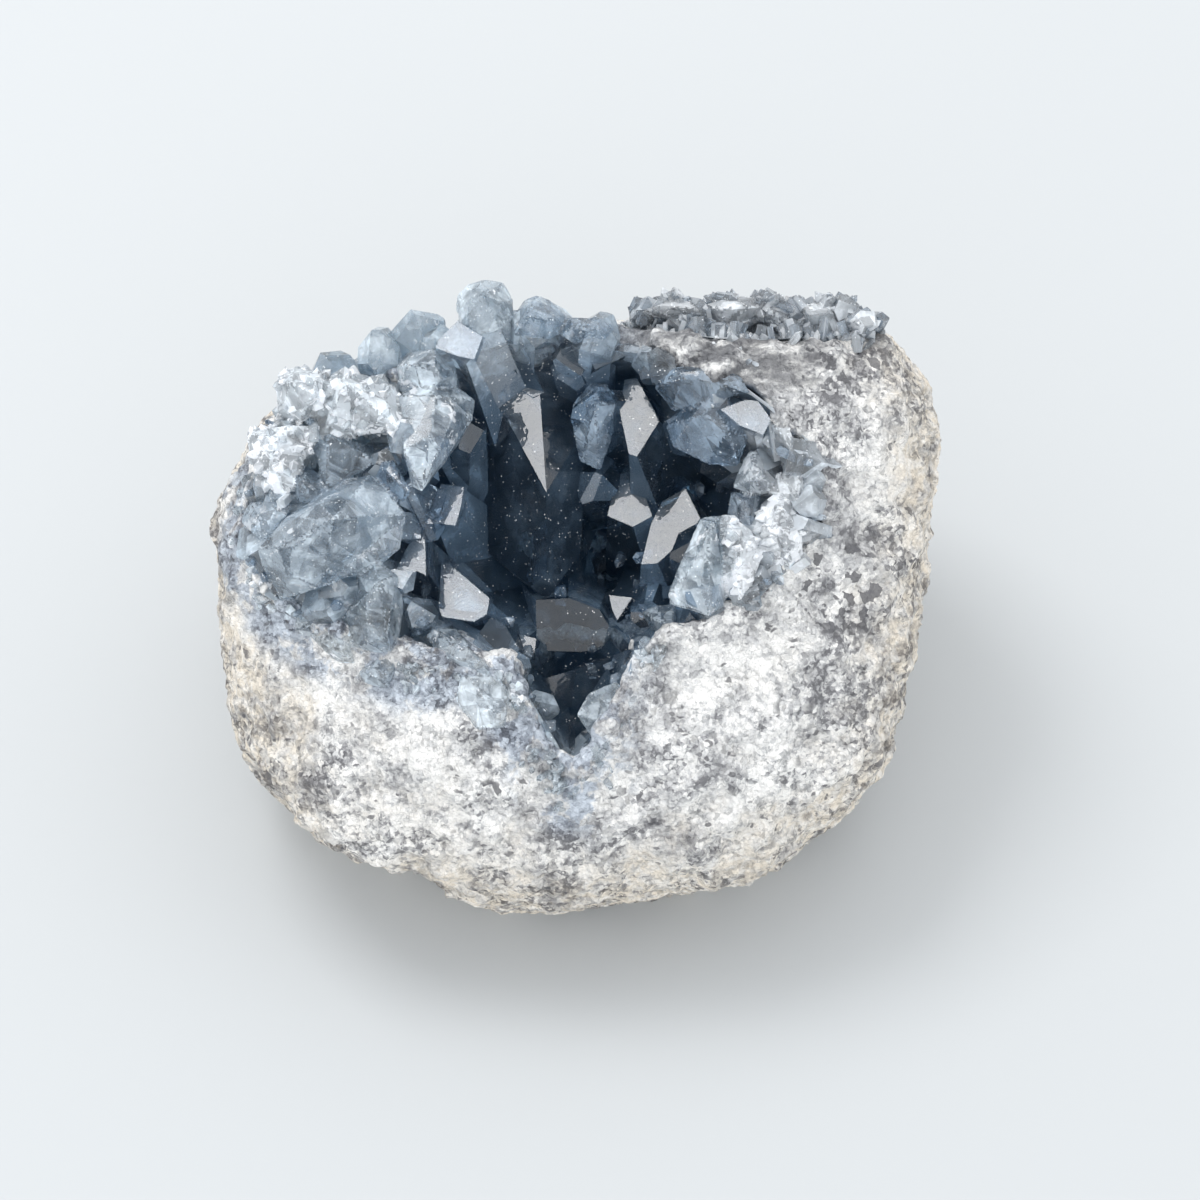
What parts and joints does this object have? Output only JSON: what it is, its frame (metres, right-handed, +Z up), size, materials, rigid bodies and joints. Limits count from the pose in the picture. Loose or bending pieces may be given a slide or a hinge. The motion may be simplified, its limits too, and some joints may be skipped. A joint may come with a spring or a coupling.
{
  "type": "celestite crystal cluster",
  "caption": "Rounded lump of pale host rock with a broken hollow and a notched front lip, lined with a crust of faceted blue crystals; it rests on a flat base.",
  "frame": {"origin": "middle of the flat base that the lump rests on, under the middle of its bounding box", "axes": "+X to the right across the mouth of the hollow, -Y to the front where the mouth leans and the lip is notched, +Z up"},
  "size_m": [0.1212, 0.1007, 0.0848],
  "materials": {
    "host_rock": "rough, dull, speckled",
    "blue_celestite": "clear to cloudy, glassy faces",
    "pale_celestite": "cloudy, glassy faces"
  },
  "bodies": {
    "root": {"matrix": "host_rock", "crystal_crust": "blue_celestite", "back_crystals": "pale_celestite"}
  },
  "joints": []
}
